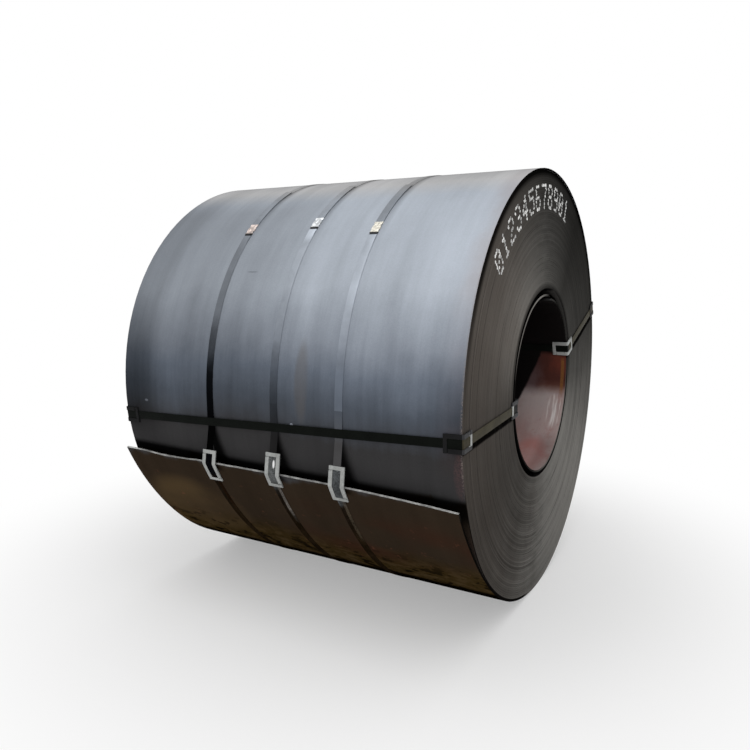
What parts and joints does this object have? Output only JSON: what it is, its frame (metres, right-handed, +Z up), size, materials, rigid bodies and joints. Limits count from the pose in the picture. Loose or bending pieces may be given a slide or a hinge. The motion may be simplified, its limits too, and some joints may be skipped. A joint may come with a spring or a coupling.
{
  "type": "steel coil",
  "caption": "Coil of hot rolled steel strip lying on its side, with a sprung tail, a loose inner wrap, steel bands round it and through its eye, and edge protectors.",
  "frame": {"origin": "on the floor, under the middle of the coil as it lies on its side", "axes": "+X along the coil's axis towards its near end face, +Y to the back, away from the tail, +Z up"},
  "size_m": [1.5102, 1.7617, 1.7455],
  "materials": {
    "hot_rolled_strip": "blue-grey mill scale, dull",
    "steel_band": "dark blued steel banding, semi-matt",
    "crimped_seal": "bright zinc coat",
    "edge_protector": "dull galvanised sheet",
    "marking_paint": "white marking paint, matt"
  },
  "bodies": {
    "root": {"coil": "hot_rolled_strip", "round_band_1": "steel_band", "round_band_seal_1": "crimped_seal", "tail_protector_1": "edge_protector", "round_band_2": "steel_band", "round_band_seal_2": "crimped_seal", "tail_protector_2": "edge_protector", "round_band_3": "steel_band", "round_band_seal_3": "crimped_seal", "tail_protector_3": "edge_protector", "front_eye_band": "steel_band", "front_eye_band_seal": "crimped_seal", "front_protector_near_outer": "edge_protector", "front_protector_near_inner": "edge_protector", "front_protector_far_inner": "edge_protector", "front_protector_far_outer": "edge_protector", "back_eye_band": "steel_band", "back_eye_band_seal": "crimped_seal", "back_protector_near_outer": "edge_protector", "back_protector_near_inner": "edge_protector", "back_protector_far_inner": "edge_protector", "back_protector_far_outer": "edge_protector"}
  },
  "joints": []
}
